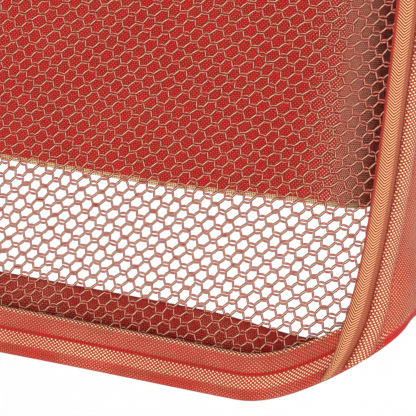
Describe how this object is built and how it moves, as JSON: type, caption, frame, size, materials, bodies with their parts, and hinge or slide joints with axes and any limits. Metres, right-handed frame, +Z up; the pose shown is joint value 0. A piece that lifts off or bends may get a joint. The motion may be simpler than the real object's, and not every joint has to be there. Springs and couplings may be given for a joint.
{
  "type": "disc golf basket",
  "caption": "Portable disc golf basket: square soft tray of red hexagonal mesh and Oxford cloth, telescoping pole, folding legs, target band and hanging chains.",
  "frame": {"origin": "centre of the footprint on the ground, on the pole's axis", "axes": "+Z up along the pole; -Y is the front side of the tray"},
  "size_m": [0.6, 0.6, 1.314],
  "materials": {
    "red_mesh": "open hexagonal warp-knit polyester net, red with tan highlights",
    "red_binding": "red-orange woven polyester binding tape with gold-tan lights",
    "red_oxford": "red coated Oxford cloth",
    "spring_steel": "bright drawn wire",
    "black_powder_coat": "satin black powder coat on steel",
    "black_plastic": "moulded black nylon, fine spark texture",
    "zinc_chain": "bright zinc-plated welded chain",
    "zinc_hardware": "bright zinc-plated wire and pins",
    "black_rubber": "matt black rubber"
  },
  "bodies": {
    "base": {"base_hub": "black_plastic", "leg_pin_1": "zinc_hardware", "leg_pin_2": "zinc_hardware", "leg_pin_3": "zinc_hardware", "leg_pin_4": "zinc_hardware", "lower_pole": "black_powder_coat", "pole_stop_pin": "zinc_hardware", "pole_collar": "black_plastic"},
    "leg_1": {"leg_1": "black_powder_coat", "foot_1": "black_rubber"},
    "leg_2": {"leg_2": "black_powder_coat", "foot_2": "black_rubber"},
    "leg_3": {"leg_3": "black_powder_coat", "foot_3": "black_rubber"},
    "leg_4": {"leg_4": "black_powder_coat", "foot_4": "black_rubber"},
    "collar_knob": {"collar_knob": "black_plastic"},
    "tray_carrier": {"tray_hub": "black_plastic", "tray_post_1": "black_powder_coat", "tray_post_2": "black_powder_coat", "tray_post_3": "black_powder_coat", "tray_post_4": "black_powder_coat"},
    "tray_knob": {"tray_knob": "black_plastic"},
    "tray": {"rim_hoop": "spring_steel", "rim_binding": "red_binding", "hem_hoop": "spring_steel", "hem_binding": "red_binding", "tub_wall": "red_oxford", "tub_floor": "red_oxford", "floor_grommet": "black_plastic", "mesh_panel_1": "red_mesh", "corner_panel_1": "red_oxford", "corner_tape_1": "red_binding", "mesh_panel_2": "red_mesh", "corner_panel_2": "red_oxford", "corner_tape_2": "red_binding", "mesh_panel_3": "red_mesh", "corner_panel_3": "red_oxford", "corner_tape_3": "red_binding", "mesh_panel_4": "red_mesh", "corner_panel_4": "red_oxford", "corner_tape_4": "red_binding"},
    "mast": {"upper_pole": "black_powder_coat", "top_hub": "black_plastic", "band_hoop": "spring_steel", "target_band": "red_oxford", "chain_ring": "zinc_hardware", "top_arm_1": "black_powder_coat", "top_arm_2": "black_powder_coat", "top_arm_3": "black_powder_coat", "top_arm_4": "black_powder_coat"},
    "collector": {"collector_ring": "zinc_hardware"},
    "chain_1": {"chain_1": "zinc_chain"},
    "chain_2": {"chain_2": "zinc_chain"},
    "chain_3": {"chain_3": "zinc_chain"},
    "chain_4": {"chain_4": "zinc_chain"},
    "chain_5": {"chain_5": "zinc_chain"},
    "chain_6": {"chain_6": "zinc_chain"},
    "chain_7": {"chain_7": "zinc_chain"},
    "chain_8": {"chain_8": "zinc_chain"}
  },
  "joints": [
    {"name": "leg_1_fold", "type": "hinge", "parent": "base", "child": "leg_1", "pos_m": [0.03394, 0.03394, 0.2], "axis": [-0.7071, 0.7071, 0], "range_deg": [0, 56]},
    {"name": "leg_2_fold", "type": "hinge", "parent": "base", "child": "leg_2", "pos_m": [-0.03394, 0.03394, 0.2], "axis": [-0.7071, -0.7071, 0], "range_deg": [0, 56]},
    {"name": "leg_3_fold", "type": "hinge", "parent": "base", "child": "leg_3", "pos_m": [-0.03394, -0.03394, 0.2], "axis": [0.7071, -0.7071, 0], "range_deg": [0, 56]},
    {"name": "leg_4_fold", "type": "hinge", "parent": "base", "child": "leg_4", "pos_m": [0.03394, -0.03394, 0.2], "axis": [0.7071, 0.7071, 0], "range_deg": [0, 56]},
    {"name": "mast_lift", "type": "slide", "parent": "base", "child": "mast", "axis": [0, 0, 1], "range_m": [0, 0.15]},
    {"name": "tray_height", "type": "slide", "parent": "base", "child": "tray_carrier", "axis": [0, 0, 1], "range_m": [-0.3, 0]},
    {"name": "tray_lift", "type": "slide", "parent": "tray_carrier", "child": "tray", "axis": [0, 0, 1], "range_m": [0, 0.07]},
    {"name": "tray_knob_turn", "type": "hinge", "parent": "tray_carrier", "child": "tray_knob", "pos_m": [0.02475, -0.02475, 0.588], "axis": [0.7071, -0.7071, 0], "range_deg": [0, 540]},
    {"name": "collar_knob_turn", "type": "hinge", "parent": "base", "child": "collar_knob", "pos_m": [0.02121, -0.02121, 0.74765], "axis": [0.7071, -0.7071, 0], "range_deg": [0, 540]},
    {"name": "collector_twist", "type": "hinge", "parent": "mast", "child": "collector", "pos_m": [0, 0, 0.842], "axis": [0, 0, 1], "range_deg": [-15, 15]},
    {"name": "chain_1_swing", "type": "hinge", "parent": "mast", "child": "chain_1", "pos_m": [0.15244, 0.06314, 1.2732], "axis": [-0.3827, 0.9239, 0], "range_deg": [0, 5]},
    {"name": "chain_2_swing", "type": "hinge", "parent": "mast", "child": "chain_2", "pos_m": [0.06314, 0.15244, 1.2732], "axis": [-0.9239, 0.3827, 0], "range_deg": [0, 5]},
    {"name": "chain_3_swing", "type": "hinge", "parent": "mast", "child": "chain_3", "pos_m": [-0.06314, 0.15244, 1.2732], "axis": [-0.9239, -0.3827, 0], "range_deg": [0, 5]},
    {"name": "chain_4_swing", "type": "hinge", "parent": "mast", "child": "chain_4", "pos_m": [-0.15244, 0.06314, 1.2732], "axis": [-0.3827, -0.9239, 0], "range_deg": [0, 5]},
    {"name": "chain_5_swing", "type": "hinge", "parent": "mast", "child": "chain_5", "pos_m": [-0.15244, -0.06314, 1.2732], "axis": [0.3827, -0.9239, 0], "range_deg": [0, 5]},
    {"name": "chain_6_swing", "type": "hinge", "parent": "mast", "child": "chain_6", "pos_m": [-0.06314, -0.15244, 1.2732], "axis": [0.9239, -0.3827, 0], "range_deg": [0, 5]},
    {"name": "chain_7_swing", "type": "hinge", "parent": "mast", "child": "chain_7", "pos_m": [0.06314, -0.15244, 1.2732], "axis": [0.9239, 0.3827, 0], "range_deg": [0, 5]},
    {"name": "chain_8_swing", "type": "hinge", "parent": "mast", "child": "chain_8", "pos_m": [0.15244, -0.06314, 1.2732], "axis": [0.3827, 0.9239, 0], "range_deg": [0, 5]}
  ]
}
